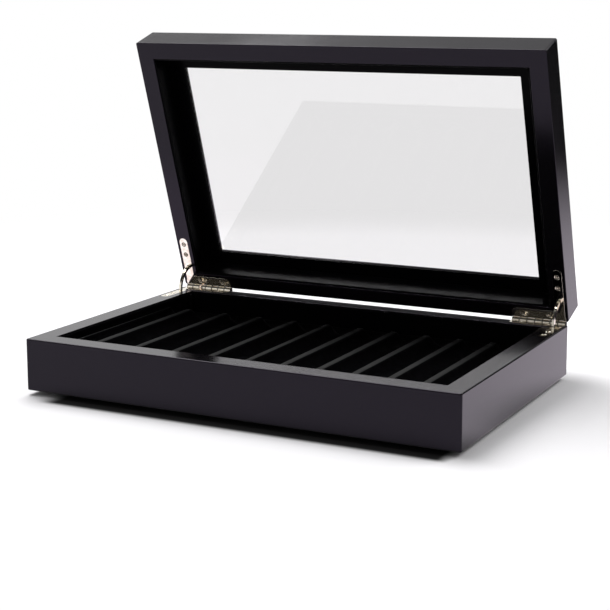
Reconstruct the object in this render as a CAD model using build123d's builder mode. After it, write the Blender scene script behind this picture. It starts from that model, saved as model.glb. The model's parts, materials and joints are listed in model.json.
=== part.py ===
from build123d import *
from math import cos, radians, sin, tan
import os

os.makedirs("parts", exist_ok=True)

# A lacquered display chest for pens: a shallow base with a grooved tray, a glazed lid
# and two corner hinges whose curved stays run in slots of both leaves.
# Millimetres. X runs along the front, Y goes to the back and Z up. The lid stands open.
# The origin is the middle of the open chest's box, on the surface that the feet stand on.

# ---- Driving dimensions ----
width = 340.0
depth = 218.0
body_height = 38.5
lid_height = 25.0
lid_opening = 71.7
rim_gap = 0.2

base_rim = 16.0
base_back_rim = 14.5
lid_rim = 13.5
lid_back_rim = 11.3
corner_radius = 1.5
arris_radius = 1.0
lid_rim_arris_radius = 0.4
inner_arris_radius = 0.4

foot_radius = 6.0
foot_height = 3.5
foot_inset = 23.0
foot_chamfer = 0.6
panel_thickness = 4.0
panel_rebate = 8.0

liner_thickness = 1.5
liner_setback = 1.0

ridge_setback = 6.5
ridge_width = 4.6
ridge_round = 1.5
slot_widths = (19.3, 34.0, 31.6, 31.0, 29.5, 28.7, 28.0, 27.0, 26.7, 26.3, 22.9)
groove_depth = 10.5
groove_steepness = 0.8
tray_edge = 1.0
ridge_end_gap = 30.0
ridge_slope = 5.0

opening_margin = 28.0
lip_thickness = 4.2
glass_thickness = 2.0
glass_overlap = 5.0
glass_play = 0.2
retainer_thickness = 1.0

axis_behind = 1.9
knuckle_radius = 2.2
knuckle_count = 7
knuckle_play = 0.18
pin_radius = 1.0
pin_play = 0.05
barrel_start = 2.0
barrel_length = 43.0
barrel_play = 0.3
leaf_thickness = 1.2
leaf_setback = 0.1
leaf_play = 0.15
leg_inset = 6.3
leg_width = 7.6
leg_reach = 44.0
arm_width = 8.5

screw_radius = 1.1
screw_head_radius = 2.1
screw_length = 9.0
screw_play = 0.05
countersink_angle = 45.0
driver_length = 2.6
driver_width = 0.6
driver_depth = 0.6
driver_turn = 45.0
leg_screws = (38.1, 28.7)
arm_screws = (15.0, 36.5)
arm_screw_inset = 4.6

stay_radius = 18.5
stay_width = 2.6
stay_thickness = 1.8
stay_overrun = 6.0
stay_head_angle = 4.0
stay_head_width = 4.6
stay_head_thickness = 3.0
stay_play = 0.4

# ---- Places worked out from them ----
lid_swing = radians(lid_opening)
lid_reach = (lid_height + rim_gap / 2 - arris_radius) * sin(lid_swing)
lid_reach -= (axis_behind + arris_radius) * cos(lid_swing) - arris_radius
body_middle = -(axis_behind + lid_reach) / 2
front_face = body_middle - depth / 2
back_face = body_middle + depth / 2
side_face = width / 2
body_bottom = foot_height
rim_height = body_bottom + body_height
lid_bottom = rim_height + rim_gap
lid_top = lid_bottom + lid_height
lip_bottom = lid_top - lip_thickness
glass_bottom = lip_bottom
retainer_bottom = lip_bottom - retainer_thickness
panel_top = body_bottom + panel_thickness
axis_y = back_face + axis_behind
axis_z = rim_height + rim_gap / 2
hinge_axis = Axis((0, axis_y, axis_z), (1, 0, 0))
lid_back_margin = opening_margin * lid_back_rim / lid_rim


def inner_size(side_margin, front_margin, back_margin):
    # Width, depth and centre in Y of the rectangle inside a frame with these margins.
    middle = body_middle + (front_margin - back_margin) / 2
    return width - 2 * side_margin, depth - front_margin - back_margin, middle


outside = inner_size(0, 0, 0)
base_hollow = inner_size(base_rim, base_rim, base_back_rim)
lid_hollow = inner_size(lid_rim, lid_rim, lid_back_rim)
lid_window = inner_size(opening_margin, opening_margin, lid_back_margin)


def inner_rectangle(size, grow=0.0, mode=Mode.ADD):
    with Locations((0, size[2])):
        Rectangle(size[0] + 2 * grow, size[1] + 2 * grow, mode=mode)


def mitre_outline(side, size):
    # The strip of a frame between one outer edge and the same edge of its inside.
    inner_x = size[0] / 2
    inner_front = size[2] - size[1] / 2
    inner_back = size[2] + size[1] / 2
    corners = {
        "front": ((-side_face, front_face), (side_face, front_face), (inner_x, inner_front), (-inner_x, inner_front)),
        "back": ((-side_face, back_face), (side_face, back_face), (inner_x, inner_back), (-inner_x, inner_back)),
        "left": ((-side_face, front_face), (-side_face, back_face), (-inner_x, inner_back), (-inner_x, inner_front)),
        "right": ((side_face, front_face), (side_face, back_face), (inner_x, inner_back), (inner_x, inner_front)),
    }
    with BuildLine() as outline:
        Polyline(*corners[side], close=True)
    make_face(outline.line)


def inside_edge(rail, z):
    # The edge of a rail at this height that is nearest to the middle of the chest.
    return rail.edges().filter_by_position(Axis.Z, z, z).sort_by_distance((0, body_middle, z))[0]


def save(name, piece):
    piece.part.label = name
    export_step(piece.part, f"parts/{name}.step")


def save_on_lid(name, piece):
    # Lid pieces are drawn on the closed chest and then swung open about the hinge.
    piece.part = piece.part.rotate(hinge_axis, -lid_opening)
    save(name, piece)


# ---- Hinge outlines, drawn in plan for either side of the chest ----
leg_x = side_face - leg_inset
leg_end = back_face - leg_reach + leg_width / 2
arm_outer = side_face - leg_inset + leg_width / 2
arm_end = side_face - barrel_start - barrel_length + arm_width / 2
arm_y = back_face - arm_width / 2
barrel_middle = side_face - barrel_start - barrel_length / 2
leg_screw_spots = [(leg_x, back_face - reach) for reach in leg_screws]
arm_screw_spots = [(side_face - reach, back_face - arm_screw_inset) for reach in arm_screws]
screw_spots = leg_screw_spots + arm_screw_spots
stay_reach = stay_head_width / 2 + stay_play
stay_swing = radians(lid_opening / 2 + stay_overrun + stay_head_angle)


def leaf_outline(side, grow=0.0):
    with Locations((side * leg_x, (back_face + leg_end) / 2)):
        Rectangle(leg_width + 2 * grow, back_face - leg_end)
    with Locations((side * leg_x, leg_end)):
        Circle(leg_width / 2 + grow)
    with Locations((side * (arm_outer + arm_end) / 2, arm_y)):
        Rectangle(arm_outer - arm_end + 2 * grow, arm_width + 2 * grow)
    with Locations((side * arm_end, arm_y)):
        Circle(arm_width / 2 + grow)
    with Locations((side * barrel_middle, (arm_y + back_face) / 2)):
        Rectangle(barrel_length + 2 * grow, back_face - arm_y + 2 * grow)


def stay_pocket_outline(side):
    # The curved stay dips into this pocket of the side rail when the lid is shut.
    far = axis_y - stay_radius - stay_reach
    near = axis_y - (stay_radius - stay_reach) * cos(stay_swing)
    with Locations((side * leg_x, (far + near) / 2)):
        Rectangle(stay_head_thickness + 2 * stay_play, near - far)


stay_pocket_depth = (stay_radius + stay_reach) * sin(stay_swing)


def cut_for_hinges(rim_z, inward):
    # Recesses for both leaves, pilot holes, stay pockets and the relief for the barrel,
    # cut into a frame whose rim lies at rim_z and whose wood lies on the inward side.
    recess = leaf_thickness + leaf_setback
    for side in (-1, 1):
        with BuildSketch(Plane.XY.offset(rim_z)) as leaf_recess:
            leaf_outline(side, leaf_play)
        extrude(leaf_recess.sketch, amount=inward * recess, mode=Mode.SUBTRACT)
        with BuildSketch(Plane.XY.offset(rim_z)) as stay_pocket:
            stay_pocket_outline(side)
        extrude(stay_pocket.sketch, amount=inward * stay_pocket_depth, mode=Mode.SUBTRACT)
        with BuildSketch(Plane.XY.offset(rim_z)) as pilot_holes:
            with Locations(*[(side * x, y) for x, y in screw_spots]):
                Circle(screw_radius)
        extrude(pilot_holes.sketch, amount=inward * (leaf_setback + screw_length), mode=Mode.SUBTRACT)
        with BuildSketch(Plane.YZ.offset(side * barrel_middle)) as barrel_relief:
            with Locations((axis_y, axis_z)):
                Circle(knuckle_radius + barrel_play)
        relief_reach = barrel_length / 2 + barrel_play
        extrude(barrel_relief.sketch, amount=relief_reach, both=True, mode=Mode.SUBTRACT)


# ---- Base: four mitred rails cut from one frame ----
with BuildPart() as base_frame:
    with BuildSketch(Plane.XY.offset(body_bottom)):
        inner_rectangle(outside)
    extrude(amount=body_height)
    fillet(base_frame.edges().filter_by(Axis.Z), corner_radius)
    fillet(base_frame.faces().sort_by(Axis.Z)[-1].edges(), arris_radius)
    fillet(base_frame.faces().sort_by(Axis.Z)[0].edges(), arris_radius)
    with BuildSketch(Plane.XY.offset(body_bottom)):
        inner_rectangle(base_hollow)
    extrude(amount=body_height, mode=Mode.SUBTRACT)
    with BuildSketch(Plane.XY.offset(body_bottom)):
        inner_rectangle(base_hollow, panel_rebate)
    extrude(amount=panel_thickness, mode=Mode.SUBTRACT)
    cut_for_hinges(rim_height, -1)

for side_name in ("front", "back", "left", "right"):
    with BuildPart() as base_rail:
        add(base_frame.part)
        with BuildSketch(Plane.XY.offset(body_bottom)):
            mitre_outline(side_name, base_hollow)
        extrude(amount=body_height, mode=Mode.INTERSECT)
        fillet(inside_edge(base_rail, rim_height), inner_arris_radius)
    save(f"base_{side_name}_rail", base_rail)

# ---- Bottom panel, let into the rails flush with their underside ----
with BuildPart() as base_bottom_panel:
    with BuildSketch(Plane.XY.offset(body_bottom)):
        inner_rectangle(base_hollow, panel_rebate)
    extrude(amount=panel_thickness)
save("base_bottom_panel", base_bottom_panel)

# ---- Four feet under the panel ----
foot_x = side_face - foot_inset
foot_front = front_face + foot_inset
foot_back = back_face - foot_inset
foot_spots = {
    "front_left": (-foot_x, foot_front),
    "front_right": (foot_x, foot_front),
    "back_left": (-foot_x, foot_back),
    "back_right": (foot_x, foot_back),
}
for place, spot in foot_spots.items():
    with BuildPart() as foot:
        with BuildSketch():
            with Locations(spot):
                Circle(foot_radius)
        extrude(amount=foot_height)
        chamfer(foot.faces().sort_by(Axis.Z)[0].edges(), foot_chamfer)
    save(f"foot_{place}", foot)


def liner_spots(size):
    # Centre, length along X and length along Y of the four strips that line a hollow.
    # The front and back strips run full length and the side strips fit between them.
    half_x = size[0] / 2 - liner_thickness / 2
    half_y = size[1] / 2 - liner_thickness / 2
    short = size[1] - 2 * liner_thickness
    return {
        "front": ((0, size[2] - half_y), size[0], liner_thickness),
        "back": ((0, size[2] + half_y), size[0], liner_thickness),
        "left": ((-half_x, size[2]), liner_thickness, short),
        "right": ((half_x, size[2]), liner_thickness, short),
    }


# ---- Thin liners around the inside of the base ----
liner_top = rim_height - liner_setback
for side_name, (spot, along_x, along_y) in liner_spots(base_hollow).items():
    with BuildPart() as base_liner:
        with BuildSketch(Plane.XY.offset(panel_top)):
            with Locations(spot):
                Rectangle(along_x, along_y)
        extrude(amount=liner_top - panel_top)
    save(f"base_{side_name}_liner", base_liner)

# ---- Tray with round grooves that run from front to back ----
tray_half = base_hollow[0] / 2 - liner_thickness
tray_front = base_hollow[2] - base_hollow[1] / 2 + liner_thickness
tray_back = base_hollow[2] + base_hollow[1] / 2 - liner_thickness
ridge_top = rim_height - ridge_setback
tray_floor = ridge_top - groove_depth
ridge_end = tray_back - ridge_end_gap
slot_scale = 2 * tray_half / sum(slot_widths)
ridges = [slot_scale * sum(slot_widths[:count]) - tray_half for count in range(1, len(slot_widths))]
land_ends = [-tray_half + tray_edge] + [x + ridge_width / 2 for x in ridges]
land_starts = [x - ridge_width / 2 for x in ridges] + [tray_half - tray_edge]

with BuildPart() as pen_tray:
    with BuildSketch(Plane.XZ.offset(-ridge_end)):
        with BuildLine():
            Line((-tray_half, ridge_top), (land_ends[0], ridge_top))
            for left, right in zip(land_ends, land_starts):
                sag = min(groove_depth, groove_steepness * (right - left) / 2)
                ThreePointArc((left, ridge_top), ((left + right) / 2, ridge_top - sag), (right, ridge_top))
            for left, right in zip(land_starts[:-1], land_ends[1:]):
                Line((left, ridge_top), (right, ridge_top))
            Polyline(
                (land_starts[-1], ridge_top),
                (tray_half, ridge_top),
                (tray_half, panel_top),
                (-tray_half, panel_top),
                (-tray_half, ridge_top),
            )
        make_face()
    extrude(amount=ridge_end - tray_front)
    ridge_edges = pen_tray.edges().filter_by(Axis.Y).group_by(Axis.Z)[-1].sort_by(Axis.X)[2:-2]
    fillet(ridge_edges, ridge_round)
    with BuildSketch(Plane.YZ):
        with BuildLine():
            Polyline(
                (ridge_end - ridge_slope, ridge_top),
                (ridge_end, ridge_top),
                (ridge_end, tray_floor),
                close=True,
            )
        make_face()
    extrude(amount=tray_half, both=True, mode=Mode.SUBTRACT)
    with BuildSketch(Plane.XY.offset(panel_top)):
        with Locations((0, (ridge_end + tray_back) / 2)):
            Rectangle(2 * tray_half, tray_back - ridge_end)
    extrude(amount=tray_floor - panel_top)
save("pen_tray", pen_tray)

# ---- Lid: four mitred rails with a lip around the window ----
with BuildPart() as lid_frame:
    with BuildSketch(Plane.XY.offset(lid_bottom)):
        inner_rectangle(outside)
    extrude(amount=lid_height)
    fillet(lid_frame.edges().filter_by(Axis.Z), corner_radius)
    fillet(lid_frame.faces().sort_by(Axis.Z)[-1].edges(), arris_radius)
    fillet(lid_frame.faces().sort_by(Axis.Z)[0].edges(), lid_rim_arris_radius)
    with BuildSketch(Plane.XY.offset(lid_bottom)):
        inner_rectangle(lid_hollow)
    extrude(amount=lip_bottom - lid_bottom, mode=Mode.SUBTRACT)
    with BuildSketch(Plane.XY.offset(lip_bottom)):
        inner_rectangle(lid_window)
    extrude(amount=lip_thickness, mode=Mode.SUBTRACT)
    with BuildSketch(Plane.XY.offset(lip_bottom)):
        inner_rectangle(lid_window, glass_overlap)
    extrude(amount=glass_thickness, mode=Mode.SUBTRACT)
    cut_for_hinges(lid_bottom, 1)

for side_name in ("front", "back", "left", "right"):
    with BuildPart() as lid_rail:
        add(lid_frame.part)
        with BuildSketch(Plane.XY.offset(lid_bottom)):
            mitre_outline(side_name, lid_window)
        extrude(amount=lid_height, mode=Mode.INTERSECT)
        fillet(inside_edge(lid_rail, lid_bottom), inner_arris_radius)
        fillet(inside_edge(lid_rail, lid_top), inner_arris_radius)
    save_on_lid(f"lid_{side_name}_rail", lid_rail)

# ---- Glass, in the rebate of the lip ----
with BuildPart() as lid_glass:
    with BuildSketch(Plane.XY.offset(glass_bottom)):
        inner_rectangle(lid_window, glass_overlap - glass_play)
    extrude(amount=glass_thickness)
save_on_lid("lid_glass", lid_glass)

# ---- Mitred strips that hold the glass from below ----
with BuildPart() as retainer_frame:
    with BuildSketch(Plane.XY.offset(retainer_bottom)):
        inner_rectangle(lid_hollow)
        inner_rectangle(lid_window, mode=Mode.SUBTRACT)
    extrude(amount=retainer_thickness)

for side_name in ("front", "back", "left", "right"):
    with BuildPart() as glass_retainer:
        add(retainer_frame.part)
        with BuildSketch(Plane.XY.offset(retainer_bottom)):
            mitre_outline(side_name, lid_window)
        extrude(amount=retainer_thickness, mode=Mode.INTERSECT)
    save_on_lid(f"glass_{side_name}_retainer", glass_retainer)

# ---- Thin liners around the inside of the lid ----
lid_liner_bottom = lid_bottom + liner_setback
for side_name, (spot, along_x, along_y) in liner_spots(lid_hollow).items():
    with BuildPart() as lid_liner:
        with BuildSketch(Plane.XY.offset(lid_liner_bottom)):
            with Locations(spot):
                Rectangle(along_x, along_y)
        extrude(amount=retainer_bottom - lid_liner_bottom)
    save_on_lid(f"lid_{side_name}_liner", lid_liner)

# ---- Corner hinges ----
knuckle_pitch = barrel_length / knuckle_count
sides = {"left": -1, "right": 1}
stay_slot_width = stay_thickness + 2 * stay_play
stay_slot_length = stay_width + 2 * stay_play
countersink_depth = (screw_head_radius - screw_radius) / tan(radians(countersink_angle))


def knuckle_centres(side, own):
    # The knuckles alternate: own picks the even ones of the base or the odd ones of the lid.
    start = side_face - barrel_start
    return [side * (start - (index + 0.5) * knuckle_pitch) for index in range(own, knuckle_count, 2)]


def barrel_pieces(centres, radius, length, mode=Mode.ADD):
    for centre in centres:
        with BuildSketch(Plane.YZ.offset(centre)) as section:
            with Locations((axis_y, axis_z)):
                Circle(radius)
        extrude(section.sketch, amount=length / 2, both=True, mode=mode)


def hinge_leaf(side, face_z, inward, own, bore_radius):
    # An L-shaped leaf with its own knuckles; face_z is the face that looks out of the rim.
    other = 1 - own
    with BuildPart() as leaf:
        with BuildSketch(Plane.XY.offset(face_z)):
            leaf_outline(side)
            with Locations((side * barrel_middle, (arm_y + axis_y) / 2)):
                Rectangle(barrel_length, axis_y - arm_y)
        extrude(amount=inward * leaf_thickness)
        relief_length = knuckle_pitch + 2 * knuckle_play
        barrel_pieces(knuckle_centres(side, other), knuckle_radius + barrel_play, relief_length, Mode.SUBTRACT)
        barrel_pieces(knuckle_centres(side, own), knuckle_radius, knuckle_pitch - 2 * knuckle_play)
        barrel_pieces([side * barrel_middle], bore_radius, barrel_length, Mode.SUBTRACT)
        with BuildSketch(Plane.XY.offset(face_z)):
            with Locations((side * leg_x, axis_y - stay_radius)):
                Rectangle(stay_slot_width, stay_slot_length)
        extrude(amount=inward * leaf_thickness, mode=Mode.SUBTRACT)
        hole_plane = Plane((0, 0, face_z), x_dir=(1, 0, 0), z_dir=(0, 0, -inward))
        for x, y in screw_spots:
            with BuildSketch(hole_plane):
                with Locations((side * x, -inward * y)):
                    Circle(screw_head_radius)
            cone_depth = countersink_depth - screw_play
            extrude(amount=-cone_depth, taper=countersink_angle, mode=Mode.SUBTRACT)
            with BuildSketch(hole_plane):
                with Locations((side * x, -inward * y)):
                    Circle(screw_radius + screw_play)
            extrude(amount=-leaf_thickness, mode=Mode.SUBTRACT)
    return leaf


def hinge_screws(side, face_z, inward):
    # Four countersunk screws with a cross recess, as one group.
    head_plane = Plane((0, 0, face_z), x_dir=(1, 0, 0), z_dir=(0, 0, -inward))
    spots = [(side * x, -inward * y) for x, y in screw_spots]
    with BuildPart() as screws:
        with BuildSketch(head_plane):
            with Locations(*spots):
                Circle(screw_radius)
        extrude(amount=-screw_length)
        for spot in spots:
            with BuildSketch(head_plane):
                with Locations(spot):
                    Circle(screw_head_radius)
            extrude(amount=-countersink_depth, taper=countersink_angle)
        with BuildSketch(head_plane):
            with Locations(*spots):
                Rectangle(driver_length, driver_width, rotation=driver_turn)
                Rectangle(driver_length, driver_width, rotation=-driver_turn)
        extrude(amount=-driver_depth, mode=Mode.SUBTRACT)
    return screws


def arc_strip(start, size, radius, strip_width):
    # A band around the hinge axis, angles counted from the back towards the top.
    with BuildLine() as outline:
        outer = CenterArc((axis_y, axis_z), radius + strip_width / 2, start, size)
        inner = CenterArc((axis_y, axis_z), radius - strip_width / 2, start, size)
        Line(outer @ 0, inner @ 0)
        Line(outer @ 1, inner @ 1)
    make_face(outline.line)


base_face = rim_height - leaf_setback
lid_face = lid_bottom + leaf_setback
stay_start = 180 - lid_opening - stay_overrun
stay_size = lid_opening + 2 * stay_overrun

for side_name, side in sides.items():
    save(f"{side_name}_hinge_base_leaf", hinge_leaf(side, base_face, -1, 0, pin_radius))
    save_on_lid(f"{side_name}_hinge_lid_leaf", hinge_leaf(side, lid_face, 1, 1, pin_radius + pin_play))
    save(f"{side_name}_hinge_base_screws", hinge_screws(side, base_face, -1))
    save_on_lid(f"{side_name}_hinge_lid_screws", hinge_screws(side, lid_face, 1))

    with BuildPart() as hinge_pin:
        barrel_pieces([side * barrel_middle], pin_radius, barrel_length)
    save(f"{side_name}_hinge_pin", hinge_pin)

    with BuildPart() as hinge_stay:
        with BuildSketch(Plane.YZ.offset(side * leg_x)):
            arc_strip(stay_start, stay_size, stay_radius, stay_width)
        extrude(amount=stay_thickness / 2, both=True)
        for head_start in (stay_start - stay_head_angle, stay_start + stay_size):
            with BuildSketch(Plane.YZ.offset(side * leg_x)):
                arc_strip(head_start, stay_head_angle, stay_radius, stay_head_width)
            extrude(amount=stay_head_thickness / 2, both=True)
    save(f"{side_name}_hinge_stay", hinge_stay)
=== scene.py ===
import math
import json
import bpy
import bmesh
from mathutils import Vector, Matrix


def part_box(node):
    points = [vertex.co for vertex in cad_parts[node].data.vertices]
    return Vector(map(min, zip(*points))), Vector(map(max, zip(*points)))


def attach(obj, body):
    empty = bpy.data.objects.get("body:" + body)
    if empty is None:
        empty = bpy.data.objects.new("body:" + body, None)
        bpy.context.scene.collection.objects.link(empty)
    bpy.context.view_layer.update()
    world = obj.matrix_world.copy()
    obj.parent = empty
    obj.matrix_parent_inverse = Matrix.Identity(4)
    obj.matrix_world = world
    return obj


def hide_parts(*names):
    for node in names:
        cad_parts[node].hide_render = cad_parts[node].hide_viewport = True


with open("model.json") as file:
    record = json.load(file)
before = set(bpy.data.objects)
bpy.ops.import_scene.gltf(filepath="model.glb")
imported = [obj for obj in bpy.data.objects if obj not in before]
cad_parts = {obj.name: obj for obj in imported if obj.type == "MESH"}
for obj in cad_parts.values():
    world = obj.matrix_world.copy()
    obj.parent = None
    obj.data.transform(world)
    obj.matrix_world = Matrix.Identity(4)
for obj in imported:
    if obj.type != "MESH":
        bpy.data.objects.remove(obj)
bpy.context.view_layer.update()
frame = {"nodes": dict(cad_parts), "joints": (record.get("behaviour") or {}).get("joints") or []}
nodes = frame["nodes"]
print("frame loaded", len(nodes))

mm = 0.001
tiny = 1e-6


def srgb(code):
    # A #rrggbb colour as linear red, green, blue and alpha.
    channels = [int(code[i:i + 2], 16) / 255 for i in (1, 3, 5)]
    return tuple(c / 12.92 if c <= 0.04045 else ((c + 0.055) / 1.055) ** 2.4 for c in channels) + (1.0,)


def newMaterial(name):
    # A material with only a Principled shader; returns its tree and that shader too.
    material = bpy.data.materials.new(name)
    material.use_nodes = True
    return material, material.node_tree, material.node_tree.nodes["Principled BSDF"]


def setInputs(tree, node, inputs):
    # An input takes a link from a socket, and anything else as its constant.
    for key, value in inputs.items():
        if isinstance(value, bpy.types.NodeSocket):
            tree.links.new(value, node.inputs[key])
        else:
            node.inputs[key].default_value = value


def addNode(tree, kind, inputs=None, settings=None):
    # Adds a node with its own settings first and then its inputs.
    node = tree.nodes.new(kind)
    for key, value in (settings or {}).items():
        setattr(node, key, value)
    setInputs(tree, node, inputs or {})
    return node


def calculate(tree, operation, *inputs):
    # A math node over sockets and numbers.
    return addNode(tree, "ShaderNodeMath", dict(enumerate(inputs)), {"operation": operation}).outputs[0]


def mapRange(tree, value, start, end, low=0.0, high=1.0, smooth=False):
    # Carries start to end over to low to high, and holds both ends.
    inputs = {"Value": value, "From Min": start, "From Max": end, "To Min": low, "To Max": high}
    settings = {"interpolation_type": "SMOOTHSTEP" if smooth else "LINEAR"}
    return addNode(tree, "ShaderNodeMapRange", inputs, settings).outputs["Result"]


def blend(tree, kind, share, first, second):
    # Mixes two values or two colours by a share from 0 to 1.
    start, result = {"FLOAT": (2, 0), "RGBA": (6, 2)}[kind]
    inputs = {0: share, start: first, start + 1: second}
    return addNode(tree, "ShaderNodeMix", inputs, {"data_type": kind}).outputs[result]


def noise(tree, place, size, detail, distortion=0.0):
    # Noise with features of about the given size in metres.
    inputs = {"Vector": place, "Scale": 1 / size, "Detail": detail, "Distortion": distortion}
    return addNode(tree, "ShaderNodeTexNoise", inputs).outputs["Fac"]


def ramp(tree, source, stops):
    # A colour ramp over grey levels or colours, given as (place, colour) pairs.
    node = addNode(tree, "ShaderNodeValToRGB", {0: source})
    elements = node.color_ramp.elements
    while len(elements) < len(stops):
        elements.new(0.5)
    for element, (place, colour) in zip(elements, stops):
        element.position = place
        element.color = colour if isinstance(colour, tuple) else (colour, colour, colour, 1.0)
    return node.outputs["Color"]


def tintBetween(tree, source, places, colours):
    return ramp(tree, source, [(place, srgb(code)) for place, code in zip(places, colours)])


def bump(tree, height, look, distance, normal=None):
    # Relief of the given depth in metres over the surface's own or another normal.
    inputs = {"Height": height, "Strength": look["strength"], "Distance": distance}
    if normal is not None:
        inputs["Normal"] = normal
    return addNode(tree, "ShaderNodeBump", inputs).outputs["Normal"]


def objectPlace(tree):
    return addNode(tree, "ShaderNodeTexCoord").outputs["Object"]


def split(tree, vector):
    return addNode(tree, "ShaderNodeSeparateXYZ", {0: vector}).outputs


# Black satin lacquer sprayed over fibreboard and rubbed out: a deep black body whose film
# has a faint orange peel of a few millimetres and fine rubbing haze, so that reflections
# keep their place and go soft at the edges.
lacquer = {
    "colours": ("#080709", "#0c0a0d"), "tintAt": (0.35, 0.75), "cloud": 0.06, "haze": 0.0006,
    "hazeShare": 0.35, "spread": (0.3, 0.7), "roughness": (0.12, 0.2), "peel": 0.004,
    "depth": 0.00002, "strength": 0.5, "index": 1.325, "shine": "#efe1ff",
    "dullRim": 0.62, "rimTop": 0.042, "rimBand": 0.0004, "rimHinge": (0.0805, 0.0835),
}


def makeLacquer():
    material, tree, shader = newMaterial("blackSatinLacquer")
    place = objectPlace(tree)
    clouds = noise(tree, place, lacquer["cloud"], detail=4.0)
    haze = noise(tree, place, lacquer["haze"], detail=2.0)
    peel = noise(tree, place, lacquer["peel"], detail=1.0)
    rubbed = blend(tree, "FLOAT", lacquer["hazeShare"], clouds, haze)
    rough = mapRange(tree, rubbed, *lacquer["spread"], *lacquer["roughness"])
    # The rim under the hinges is hard to reach and stays unrubbed, so it is duller.
    parts = split(tree, place)
    onRim = calculate(tree, "COMPARE", parts["Z"], lacquer["rimTop"], lacquer["rimBand"])
    nearHinge = mapRange(tree, parts["Y"], *lacquer["rimHinge"])
    unrubbed = calculate(tree, "MULTIPLY", onRim, nearHinge)
    setInputs(tree, shader, {
        "Base Color": tintBetween(tree, clouds, lacquer["tintAt"], lacquer["colours"]),
        "Roughness": blend(tree, "FLOAT", unrubbed, rough, lacquer["dullRim"]),
        "Normal": bump(tree, peel, lacquer, lacquer["depth"]),
        "IOR": lacquer["index"], "Specular Tint": srgb(lacquer["shine"]),
    })
    return material


# The strips that hold the glass are black satin mouldings: dull face-on, and they shine
# where the light grazes their edge beside the pane.
moulding = {
    "colours": ("#030304", "#060507"), "tintAt": (0.4, 0.7), "grain": 0.0008,
    "spread": (0.3, 0.7), "roughness": (0.14, 0.24), "index": 1.1,
}


def makeMoulding():
    material, tree, shader = newMaterial("blackSatinMoulding")
    grain = noise(tree, objectPlace(tree), moulding["grain"], detail=3.0)
    setInputs(tree, shader, {
        "Base Color": tintBetween(tree, grain, moulding["tintAt"], moulding["colours"]),
        "Roughness": mapRange(tree, grain, *moulding["spread"], *moulding["roughness"]),
        "IOR": moulding["index"],
    })
    return material


# Covers with a pile of short fibres swallow light head-on and speckle faintly. The fibres are
# drawn coarser than the real 0.02 mm so that they show.
pile = {
    "fibre": 0.0004, "clump": 0.004, "clumpShare": 0.35, "tintAt": (0.38, 0.68), "strength": 0.8,
    "roughness": 0.95, "index": 1.3, "specular": 0.03,
    "sheen": 0.008, "sheenRoughness": 0.3, "sheenTint": "#d8d4dc",
}
# The tray is a moulding flocked with nylon: its hollows stay black, and its crests are painted
# a soft grey, a painted sheen that fades towards the hinges.
flock = {
    "colours": ("#010101", "#0b0b0e"), "depth": 0.00008, "shadedBack": "#000000", "crestSheen": "#393939",
    "crestHeight": (0.0347, 0.03535), "fade": (0.052, -0.075), "leastLit": 0.1,
    "spread": (0.3, 0.7), "speckle": (0.75, 1.0),
}
# The base's strips are card wrapped in velvet paper. The lid's wear the same paper calendered
# flat, with a faint satin shine. The panel underneath wears a greyer, deeper felt.
velvet = {"colours": ("#030304", "#080709"), "depth": 0.00006}
pressed = {
    "colours": ("#020203", "#060507"), "depth": 0.00003, "roughness": 0.4, "index": 1.13, "specular": 0.5,
}
felt = {"colours": ("#0d0c0e", "#1d1c20"), "depth": 0.0003}


def makePile(name, cover):
    # A pile of fibres: fine speckle and broader clumps over a dark ground.
    material, tree, shader = newMaterial(name)
    place = objectPlace(tree)
    fibres = noise(tree, place, pile["fibre"], detail=3.0)
    clumps = noise(tree, place, pile["clump"], detail=3.0)
    both = blend(tree, "FLOAT", pile["clumpShare"], fibres, clumps)
    tint = tintBetween(tree, both, pile["tintAt"], cover["colours"])
    if "crestSheen" in cover:
        # Painted shade: the ground is blacker towards the hinges, and so is the painted sheen on the crests.
        parts = split(tree, place)
        high = mapRange(tree, parts["Z"], *cover["crestHeight"], smooth=True)
        near = mapRange(tree, parts["Y"], *cover["fade"], low=cover["leastLit"], smooth=True)
        ground = blend(tree, "RGBA", near, srgb(cover["shadedBack"]), tint)
        # Painted sheen: the crests are painted lighter, most towards the front.
        paintedSheenShare = calculate(tree, "MULTIPLY", high, near)
        speckle = mapRange(tree, both, *cover["spread"], *cover["speckle"])
        share = calculate(tree, "MULTIPLY", paintedSheenShare, speckle)
        tint = blend(tree, "RGBA", share, ground, srgb(cover["crestSheen"]))
    setInputs(tree, shader, {
        "Base Color": tint, "Normal": bump(tree, both, pile, cover["depth"]),
        "Roughness": cover.get("roughness", pile["roughness"]),
        "IOR": cover.get("index", pile["index"]),
        "Specular IOR Level": cover.get("specular", pile["specular"]),
        "Sheen Weight": pile["sheen"], "Sheen Roughness": pile["sheenRoughness"],
        "Sheen Tint": srgb(pile["sheenTint"]),
    })
    return material


# Float glass, polished on both faces: clear and nearly colourless, with a few dust specks.
glass = {"colour": "#ecebec", "index": 1.5, "speck": 0.0011, "spread": (0.6, 0.8), "dust": (0.0, 0.03)}


def makeGlass():
    material, tree, shader = newMaterial("floatGlassPane")
    specks = noise(tree, objectPlace(tree), glass["speck"], detail=2.0)
    setInputs(tree, shader, {
        "Roughness": mapRange(tree, specks, *glass["spread"], *glass["dust"]),
        "Base Color": srgb(glass["colour"]), "IOR": glass["index"], "Transmission Weight": 1.0,
    })
    return material


# Nickel-plated steel, stamped and barrel polished: bright, slightly warm, with fine
# scratches in every direction and a little tarnish in patches.
nickel = {
    "colours": ("#d8cebd", "#ece6d9"), "tintAt": (0.35, 0.6), "patch": 0.004, "scratch": 0.0004,
    "twist": 1.5, "spread": (0.35, 0.65), "roughness": (0.04, 0.11), "depth": 0.000002,
    "strength": 0.6, "edge": 0.00032, "edgeSamples": 6,
}
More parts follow.
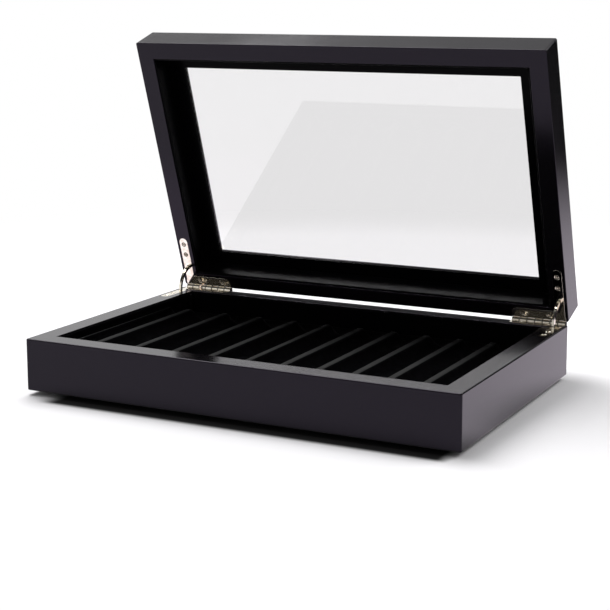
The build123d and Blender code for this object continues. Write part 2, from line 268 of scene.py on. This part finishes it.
# The stays are polished brighter than the leaves and keep crisper edges.
stayNickel = {"colours": nickel["colours"], "roughness": (0.02, 0.06), "edge": 0.0001}
screwNickel = {"colours": ("#b7ab97", "#d8cfbe"), "roughness": (0.05, 0.13), "edge": 0.0003}
# The punched cross, a ring round the head and the underside are painted dark: painted shade in the recess
# and the countersink.
recessShadeNickel = {"colours": ("#242321", "#3a3834"), "roughness": (0.3, 0.5), "edge": nickel["edge"]}

hinge = next(joint for joint in frame["joints"] if joint["name"] == "lid_hinge")
axis = Vector(hinge["pos_m"])
# Seven knuckles share a barrel. The lines where they meet round the pin are painted dark, as painted shade
# in the gaps.
knuckles = {
    "start": 0.168, "pitch": 0.043 / 7, "line": 0.00055, "core": 0.4, "pin": (0.0, axis.y, axis.z),
    "reach": 0.0027, "gapShade": "#0d0b09", "roughness": 0.6,
}


def knuckleGapShade(tree, place):
    # Share of painted gap shade: 1 on the lines between the knuckles and 0 elsewhere.
    pitch = knuckles["pitch"]
    along = calculate(tree, "ABSOLUTE", split(tree, place)["X"])
    phase = calculate(tree, "MULTIPLY_ADD", along, -1 / pitch, knuckles["start"] / pitch)
    between = calculate(tree, "PINGPONG", phase, 0.5)
    line = knuckles["line"] / pitch
    gap = mapRange(tree, between, line, knuckles["core"] * line, smooth=True)
    flat = addNode(tree, "ShaderNodeVectorMath", {0: place, 1: (0.0, 1.0, 1.0)}, {"operation": "MULTIPLY"})
    inputs = {0: flat.outputs[0], 1: knuckles["pin"]}
    fromPin = addNode(tree, "ShaderNodeVectorMath", inputs, {"operation": "DISTANCE"}).outputs["Value"]
    return calculate(tree, "MULTIPLY", gap, calculate(tree, "LESS_THAN", fromPin, knuckles["reach"]))


def makeNickel(name, finish, jointed=False):
    material, tree, shader = newMaterial(name)
    place = objectPlace(tree)
    patches = noise(tree, place, nickel["patch"], detail=4.0)
    scratches = noise(tree, place, nickel["scratch"], detail=2.0, distortion=nickel["twist"])
    colour = tintBetween(tree, patches, nickel["tintAt"], finish["colours"])
    rough = mapRange(tree, scratches, *nickel["spread"], *finish["roughness"])
    if jointed:
        # Painted shade darkens the gaps between the knuckles.
        gapShade = knuckleGapShade(tree, place)
        colour = blend(tree, "RGBA", gapShade, colour, srgb(knuckles["gapShade"]))
        rough = blend(tree, "FLOAT", gapShade, rough, knuckles["roughness"])
    edges = addNode(tree, "ShaderNodeBevel", {"Radius": finish["edge"]}, {"samples": nickel["edgeSamples"]})
    setInputs(tree, shader, {
        "Base Color": colour, "Roughness": rough, "Metallic": 1.0,
        "Normal": bump(tree, scratches, nickel, nickel["depth"], edges.outputs["Normal"]),
    })
    return material


# Moulded rubber, matt with a sandy grain and a little grey bloom.
rubber = {
    "colours": ("#141414", "#232323"), "tintAt": (0.4, 0.7), "grain": 0.0005, "depth": 0.0001,
    "strength": 0.6, "roughness": 0.75,
}


def makeRubber():
    material, tree, shader = newMaterial("mouldedFootRubber")
    grain = noise(tree, objectPlace(tree), rubber["grain"], detail=3.0)
    setInputs(tree, shader, {
        "Base Color": tintBetween(tree, grain, rubber["tintAt"], rubber["colours"]),
        "Normal": bump(tree, grain, rubber, rubber["depth"]), "Roughness": rubber["roughness"],
    })
    return material


trayMaterial = makePile("blackFlockedTray", flock)
linerMaterial = makePile("blackVelvetPaper", velvet)
lidLinerMaterial = makePile("blackPressedPaper", pressed)
screwMaterial = makeNickel("nickelScrewHead", screwNickel)
recessMaterial = makeNickel("shadedNickelRecess", recessShadeNickel)

# The first word found in a node's name picks its material; what is left are the hinge parts.
coats = [
    ("rail", makeLacquer()), ("retainer", makeMoulding()), ("bottom_panel", makePile("blackBaseFelt", felt)),
    ("liner", linerMaterial), ("tray", trayMaterial), ("foot", makeRubber()), ("glass", makeGlass()),
    ("stay", makeNickel("nickelPlatedStay", stayNickel)), ("screws", screwMaterial),
    ("", makeNickel("nickelPlatedSteel", nickel, jointed=True)),
]
for name, node in nodes.items():
    node.data.materials.clear()
    node.data.materials.append(next(material for word, material in coats if word in name))
print("materials set")

# The lid's swing, so that lid pieces can be drawn on the closed chest.
lidAngle = 71.7
lidTurn = Matrix.Rotation(-math.radians(lidAngle), 4, "X")
lidOpen = Matrix.Translation(axis) @ lidTurn @ Matrix.Translation(-axis)


def closedBox(name):
    # Lowest and highest corner of a lid node with the lid shut.
    points = [lidOpen.inverted() @ vertex.co for vertex in nodes[name].data.vertices]
    return tuple(Vector([pick(point[i] for point in points) for i in range(3)]) for pick in (min, max))


def addPiece(name, builder, material, body, replaced):
    # Turns a bmesh into a smooth-shaded piece that rides on a body and stands for a node.
    mesh = bpy.data.meshes.new(name)
    builder.to_mesh(mesh)
    builder.free()
    mesh.materials.append(material)
    mesh.shade_smooth()
    piece = bpy.data.objects.new(name, mesh)
    bpy.context.scene.collection.objects.link(piece)
    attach(piece, body)
    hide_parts(replaced)
    return piece


# Flocked tray: the grooves roll over into the ridges, which slope away at the back. Sizes are
# in mm: the spacing of the ridges from the left, the widest ridge and the deepest groove, the
# ridges' end and its slope, the grid's steps and the waves of the nap.
tray = {
    "slots": (19.3, 34.0, 31.6, 31.0, 29.5, 28.7, 28.0, 27.0, 26.7, 26.3, 22.9), "ridge": 4.6,
    "wall": 1.0, "depth": 10.5, "steepness": 0.8, "roll": 0.18,
    "endGap": 30.0, "endRun": 5.0, "endRoll": 0.8, "stepX": 1.0, "stepY": 2.0,
    "nap": 0.06, "napX": (2.1, 3.0, 0.7), "napY": (1.7, 2.0, 0.9),
}
trayLow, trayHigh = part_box("pen_tray")
halfWidth = trayHigh.x / mm
top = trayHigh.z / mm
ridgeEnd = trayHigh.y / mm - tray["endGap"]
weight = 2 * halfWidth / sum(tray["slots"])
ridgeSpots = [weight * sum(tray["slots"][:i]) - halfWidth for i in range(len(tray["slots"]) + 1)]


def softLower(a, b, roll):
    # The lower of two heights, rounded where they cross.
    low, high = min(a, b), max(a, b)
    return low - roll * math.log(1 + math.exp((low - high) / roll))


def grooveHeight(x):
    # Height of the grooved surface at x: an arc between two ridges, or beside an end wall.
    last = len(ridgeSpots) - 2
    index = max(i for i in range(last + 1) if ridgeSpots[i] <= x + tiny)
    left = ridgeSpots[index] + (tray["ridge"] / 2 if index > 0 else tray["wall"])
    right = ridgeSpots[index + 1] - (tray["ridge"] / 2 if index < last else tray["wall"])
    reach = (right - left) / 2
    sag = min(tray["depth"], tray["steepness"] * reach)
    radius = (reach * reach + sag * sag) / (2 * sag)
    away = abs(x - (left + right) / 2)
    slope = reach / math.sqrt(radius * radius - reach * reach)
    if away < reach:
        arc = top - sag + radius - math.sqrt(radius * radius - away * away)
    else:
        arc = top + slope * (away - reach)
    return softLower(arc, top, tray["roll"])


def trayHeight(x, y):
    # The ridges run down to the finger trough over the last stretch.
    fall = top + tray["depth"] * (ridgeEnd - tray["endRun"] - y) / tray["endRun"]
    height = softLower(grooveHeight(x), fall, tray["endRoll"])
    return max(height, top - tray["depth"])


def napHeight(x, y):
    # Two crossed waves that bend each other, for a pile that doesn't lie dead flat.
    wave, sway, bend = tray["napX"]
    alongX = math.sin(x * wave + sway * math.sin(y * bend))
    wave, sway, bend = tray["napY"]
    return tray["nap"] * alongX * math.sin(y * wave + sway * math.sin(x * bend))


builder = bmesh.new()
columns = int(2 * halfWidth / tray["stepX"])
lengthY = (trayHigh.y - trayLow.y) / mm
rows = int(lengthY / tray["stepY"])
grid = []
for row in range(rows + 1):
    y = trayLow.y / mm + lengthY * row / rows
    line = []
    for column in range(columns + 1):
        x = -halfWidth + 2 * halfWidth * column / columns
        inner = 0 < row < rows and 0 < column < columns
        z = trayHeight(x, y) + (napHeight(x, y) if inner else 0) - tray["nap"]
        line.append(builder.verts.new((x * mm, y * mm, z * mm)))
    grid.append(line)
for near, beyond in zip(grid, grid[1:]):
    for column in range(columns):
        builder.faces.new((near[column], near[column + 1], beyond[column + 1], beyond[column]))
rightSide = [line[-1] for line in grid[1:]]
leftSide = [line[0] for line in grid[-2:0:-1]]
rim = grid[0] + rightSide + grid[-1][-2::-1] + leftSide
foot = [builder.verts.new((vertex.co.x, vertex.co.y, trayLow.z)) for vertex in rim]
for i in range(len(rim)):
    after = (i + 1) % len(rim)
    builder.faces.new((rim[i], foot[i], foot[after], rim[after]))
builder.faces.new(foot[::-1])
bmesh.ops.recalc_face_normals(builder, faces=builder.faces)
addPiece("flockedTray", builder, trayMaterial, "base", "pen_tray")
print("tray")

# Liner strips: the cover is folded round the card, so their long edges are rounded, and they
# wave faintly. The fold, the wave and the pitch of the cross cuts are in mm.
liner = {"fold": 0.45, "segments": 3, "wave": 0.04, "waveTurn": 0.21, "pitch": 8.0}


def edgesAlong(builder, along):
    return [edge for edge in builder.edges if abs((edge.verts[0].co - edge.verts[1].co)[along]) > tiny]


def linerStrip(low, high):
    # A strip between two corners with every long edge folded round and a faint wave.
    builder = bmesh.new()
    box = Matrix.Translation((low + high) / 2) @ Matrix.Diagonal((high - low).to_4d())
    bmesh.ops.create_cube(builder, size=1.0, matrix=box)
    along = 0 if high.x - low.x > high.y - low.y else 1
    across = 1 - along
    bmesh.ops.bevel(
        builder, geom=edgesAlong(builder, along), offset=liner["fold"] * mm, segments=liner["segments"],
        profile=0.5, affect="EDGES",
    )
    cuts = int((high - low)[along] / mm / liner["pitch"])
    bmesh.ops.subdivide_edges(builder, edges=edgesAlong(builder, along), cuts=cuts, use_grid_fill=True)
    for vertex in builder.verts:
        middle = 1 - 2 * abs((vertex.co.z - low.z) / (high.z - low.z) - 0.5)
        wave = math.sin(vertex.co[along] / mm * liner["waveTurn"])
        vertex.co[across] += liner["wave"] * mm * middle * wave
    return builder


for side in ("front", "back", "left", "right"):
    strip = linerStrip(*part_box(f"base_{side}_liner"))
    addPiece(f"{side}BaseLinerStrip", strip, linerMaterial, "base", f"base_{side}_liner")
    strip = linerStrip(*closedBox(f"lid_{side}_liner"))
    bmesh.ops.transform(strip, matrix=lidOpen, verts=strip.verts)
    addPiece(f"{side}LidLinerStrip", strip, lidLinerMaterial, "lid", f"lid_{side}_liner")
print("liners")

# Countersunk screws with a slightly raised oval head and a punched cross, in mm: first one
# screw, then the places in each leaf, two in the leg along the side and two in the arm.
screw = {
    "head": 1.76, "domeSteps": 8, "dome": 0.42, "ring": 0.78, "shaft": 1.1, "length": 8.8,
    "tip": 0.4, "tipLength": 0.6, "sides": 40,
    "recess": 0.5, "above": 0.4, "arm": 1.3, "slot": 0.4, "taper": (0.45, 0.6), "turns": (45, -45),
    "under": -0.02,
    "legX": 163.7, "legReach": (38.1, 28.7), "armX": (155.0, 133.5), "armReach": 4.6,
    "behind": 1.9, "rimGap": 0.1, "setback": 0.33,
}


def screwMesh():
    # One screw with its head at the origin and its shaft down, turned from a profile.
    steps = screw["domeSteps"]
    profile = [
        (screw["head"] * i / steps, screw["dome"] * (1 - (i / steps) ** 2)) for i in range(1, steps + 1)
    ]
    profile += [
        (screw["shaft"], screw["shaft"] - screw["head"]),
        (screw["shaft"], screw["tipLength"] - screw["length"]),
        (screw["tip"], -screw["length"]),
    ]
    turns = [2 * math.pi * i / screw["sides"] for i in range(screw["sides"])]
    builder = bmesh.new()
    rings = [
        [builder.verts.new((radius * math.cos(t) * mm, radius * math.sin(t) * mm, z * mm)) for t in turns]
        for radius, z in profile
    ]
    for above, below in zip(rings, rings[1:]):
        for i in range(screw["sides"]):
            after = (i + 1) % screw["sides"]
            builder.faces.new((above[i], below[i], below[after], above[after]))
    builder.faces.new(rings[0])
    builder.faces.new(rings[-1][::-1])
    bmesh.ops.recalc_face_normals(builder, faces=builder.faces)
    return builder


def crossCutter():
    # Two tapered bars that leave the cross recess when they are cut from the head.
    builder = bmesh.new()
    for turn in screw["turns"]:
        bar = bmesh.ops.create_cube(builder, size=1.0)["verts"]
        for vertex in bar:
            low = vertex.co.z < 0
            narrow, thin = screw["taper"] if low else (1.0, 1.0)
            vertex.co.x *= 2 * screw["arm"] * narrow
            vertex.co.y *= 2 * screw["slot"] * thin
            vertex.co.z = -screw["recess"] if low else screw["above"]
        bmesh.ops.rotate(builder, matrix=Matrix.Rotation(math.radians(turn), 3, "Z"), verts=bar)
    bmesh.ops.scale(builder, vec=(mm, mm, mm), verts=builder.verts)
    return builder


def meshObject(name, builder):
    mesh = bpy.data.meshes.new(name)
    builder.to_mesh(mesh)
    builder.free()
    made = bpy.data.objects.new(name, mesh)
    bpy.context.scene.collection.objects.link(made)
    return made


blank = meshObject("screwBlank", screwMesh())
cutter = meshObject("crossCutter", crossCutter())
cut = blank.modifiers.new("cross", "BOOLEAN")
cut.object = cutter
cut.solver = "EXACT"
cut.use_self = True
finished = bpy.data.meshes.new_from_object(blank.evaluated_get(bpy.context.evaluated_depsgraph_get()))
# Painted shade: the cross, the outer ring of the head and the underside take the dark second material.
for face in finished.polygons:
    outer = math.hypot(face.center.x, face.center.y) > screw["ring"] * screw["head"] * mm
    face.material_index = int(outer or face.center.z < screw["under"] * mm)
for helper in (blank, cutter):
    bpy.data.objects.remove(helper)

spots = [(screw["legX"], reach) for reach in screw["legReach"]]
spots += [(x, screw["armReach"]) for x in screw["armX"]]
for sideName, side in (("left", -1), ("right", 1)):
    for part, up in (("base", 1), ("lid", -1)):
        builder = bmesh.new()
        for x, reach in spots:
            y = axis.y / mm - screw["behind"] - reach
            z = axis.z / mm - up * (screw["rimGap"] + screw["setback"])
            place = Matrix.Translation(Vector((side * x, y, z)) * mm)
            if part == "lid":
                place = lidOpen @ place @ Matrix.Rotation(math.pi, 4, "X")
            start = len(builder.verts)
            builder.from_mesh(finished)
            builder.verts.ensure_lookup_table()
            bmesh.ops.transform(builder, matrix=place, verts=builder.verts[start:])
        name = f"{sideName}{part.capitalize()}OvalScrews"
        replaced = f"{sideName}_hinge_{part}_screws"
        piece = addPiece(name, builder, screwMaterial, part, replaced)
        piece.data.materials.append(recessMaterial)
print("screws")

# Camera, solved from the photograph's perspective.
camera = {
    "place": (0.50140, -0.97133, 0.29196), "turn": (80.520, 0.03, 26.538), "lens": 88.18, "film": 36.0,
    "shift": (-0.0393, -0.1071), "clip": (0.01, 100.0),
}
eye = bpy.data.cameras.new("photoCamera")
eye.lens = camera["lens"]
eye.sensor_width = camera["film"]
eye.shift_x, eye.shift_y = camera["shift"]
eye.clip_start, eye.clip_end = camera["clip"]
eyeObject = bpy.data.objects.new("photoCamera", eye)
eyeObject.location = camera["place"]
eyeObject.rotation_euler = [math.radians(angle) for angle in camera["turn"]]
bpy.context.scene.collection.objects.link(eyeObject)
bpy.context.scene.camera = eyeObject

# White paper table that the chest stands on, matt and lit round the chest, where it keeps the
# shadow. Further out the camera and the glass see it as plain white. Polished surfaces mirror
# a bright glare beside and behind the chest, which dims with distance.
paper = {
    "colour": "#f2f1f3", "roughness": 0.9, "specular": 0.2,
    "left": -2.6, "right": 1.3, "front": -2.6, "back": 2.6,
    "fade": (0.42, 0.9), "beside": (0.15, 0.22), "behind": (-0.11, -0.05), "throughGlass": 0.6,
    "glareReach": (0.5, 1.75), "glare": (1.42, 0.03), "glareTint": "#fdf4ff",
    "bandAhead": (-0.1365, -0.1292), "bandLeft": (-0.156, -0.138), "bandRight": (0.167, 0.156),
    "bandEnd": 0.0, "bandDepth": 0.985,
}
white = (1.0, 1.0, 1.0, 1.0)
black = (0.0, 0.0, 0.0, 1.0)
mesh = bpy.data.meshes.new("paperTable")
corners = [
    (paper["left"], paper["front"], 0.0), (paper["right"], paper["front"], 0.0),
    (paper["right"], paper["back"], 0.0), (paper["left"], paper["back"], 0.0),
]
mesh.from_pydata(corners, [], [(0, 1, 2, 3)])
floor = bpy.data.objects.new("paperTable", mesh)
bpy.context.scene.collection.objects.link(floor)
material, tree, shader = newMaterial("whitePaper")
place = objectPlace(tree)
parts = split(tree, place)
reach = addNode(tree, "ShaderNodeVectorMath", {0: place}, {"operation": "LENGTH"}).outputs["Value"]
paths = addNode(tree, "ShaderNodeLightPath").outputs
direct = calculate(tree, "MAXIMUM", paths["Is Camera Ray"], paths["Is Transmission Ray"])
beside = mapRange(tree, reach, *paper["beside"], smooth=True)
behind = mapRange(tree, parts["Y"], *paper["behind"], smooth=True)
far = calculate(tree, "MULTIPLY", behind, beside)
faded = calculate(tree, "MULTIPLY", direct, mapRange(tree, reach, *paper["fade"], smooth=True))
throughGlass = calculate(tree, "MULTIPLY", far, paper["throughGlass"])
throughGlass = calculate(tree, "MULTIPLY", paths["Is Transmission Ray"], throughGlass)
plainShare = calculate(tree, "MAXIMUM", faded, throughGlass)
mirrored = calculate(tree, "GREATER_THAN", paths["Is Glossy Ray"], direct)
glareShare = calculate(tree, "MULTIPLY", mirrored, far)
glareLevel = mapRange(tree, reach, *paper["glareReach"], *paper["glare"], smooth=True)
plain = addNode(tree, "ShaderNodeEmission", {"Color": white, "Strength": 1.0})
glare = addNode(tree, "ShaderNodeEmission", {"Color": srgb(paper["glareTint"]), "Strength": glareLevel})
seen = addNode(tree, "ShaderNodeMixShader", {0: plainShare, 1: shader.outputs[0], 2: plain.outputs[0]})
whole = addNode(tree, "ShaderNodeMixShader", {0: glareShare, 1: seen.outputs[0], 2: glare.outputs[0]})
setInputs(tree, tree.nodes["Material Output"], {"Surface": whole.outputs[0]})
# The photograph's lamps stand behind, so a strip ahead of the front lies in full shadow. The
# even fill light here would wash it out, so what the camera sees of the paper is darker there.
band = direct
for axisName, key in (("Y", "bandAhead"), ("X", "bandLeft"), ("X", "bandRight")):
    band = calculate(tree, "MULTIPLY", band, mapRange(tree, parts[axisName], *paper[key], smooth=True))
band = calculate(tree, "MULTIPLY", band, calculate(tree, "LESS_THAN", parts["Y"], paper["bandEnd"]))
band = calculate(tree, "MULTIPLY", band, paper["bandDepth"])
setInputs(tree, shader, {
    "Base Color": blend(tree, "RGBA", band, srgb(paper["colour"]), black),
    "Roughness": paper["roughness"], "Specular IOR Level": paper["specular"],
})
mesh.materials.append(material)

# Studio, as polished surfaces see it: a wall behind and to the left that is brightest low
# down, a dark room to the right, and shade in front. All else sees an even dim light, and the
# camera and the glass see plain white.
studio = {
    "ambient": 0.34, "heights": [(0.0, 1.05), (0.30, 1.05), (0.56, 0.55), (1.0, 0.5)],
    "side": (0.05, 0.22), "sideLight": (1.0, 0.015), "ahead": (-0.1, -0.45),
    "above": (0.3, 0.5), "aboveShade": (0.0, 0.94), "across": (-0.5, -0.3), "acrossShade": (0.0, 0.5),
}
world = bpy.data.worlds.new("studio")
bpy.context.scene.world = world
world.use_nodes = True
tree = world.node_tree
way = split(tree, addNode(tree, "ShaderNodeTexCoord").outputs["Generated"])
height = ramp(tree, way["Z"], studio["heights"])
side = mapRange(tree, way["X"], *studio["side"], *studio["sideLight"])
ahead = mapRange(tree, way["Y"], *studio["ahead"])
above = mapRange(tree, way["Z"], *studio["above"], *studio["aboveShade"])
across = mapRange(tree, way["X"], *studio["across"], *studio["acrossShade"])
frontShade = calculate(tree, "MULTIPLY", calculate(tree, "MAXIMUM", above, across), ahead)
front = calculate(tree, "SUBTRACT", 1.0, frontShade)
wall = calculate(tree, "MULTIPLY", calculate(tree, "MULTIPLY", height, side), front)
paths = addNode(tree, "ShaderNodeLightPath").outputs
direct = calculate(tree, "MAXIMUM", paths["Is Camera Ray"], paths["Is Transmission Ray"])
indirect = blend(tree, "FLOAT", paths["Is Glossy Ray"], studio["ambient"], wall)
level = blend(tree, "FLOAT", direct, indirect, 1.0)
setInputs(tree, tree.nodes["Background"], {"Color": white, "Strength": level})

# The large box behind on the left gives most of the light and casts the shadow on the right.
# The small one behind on the right fills the paper there.
lamps = {
    "topLeftBox": {"place": (-0.8, 0.5, 1.9), "size": (1.5, 1.5), "power": 50.0, "aim": (0.05, 0.1, 0.0)},
    "rightBox": {"place": (0.75, 0.6, 0.8), "size": (0.6, 0.6), "power": 5.0, "aim": (0.35, 0.3, 0.0)},
}
for name, lamp in lamps.items():
    light = bpy.data.lights.new(name, "AREA")
    light.shape = "RECTANGLE"
    light.size, light.size_y = lamp["size"]
    light.energy = lamp["power"]
    lightObject = bpy.data.objects.new(name, light)
    lightObject.location = lamp["place"]
    aim = Vector(lamp["aim"]) - Vector(lamp["place"])
    lightObject.rotation_euler = aim.to_track_quat("-Z", "Y").to_euler()
    bpy.context.scene.collection.objects.link(lightObject)
bpy.context.scene.view_settings.view_transform = "Standard"
print("camera and light set")
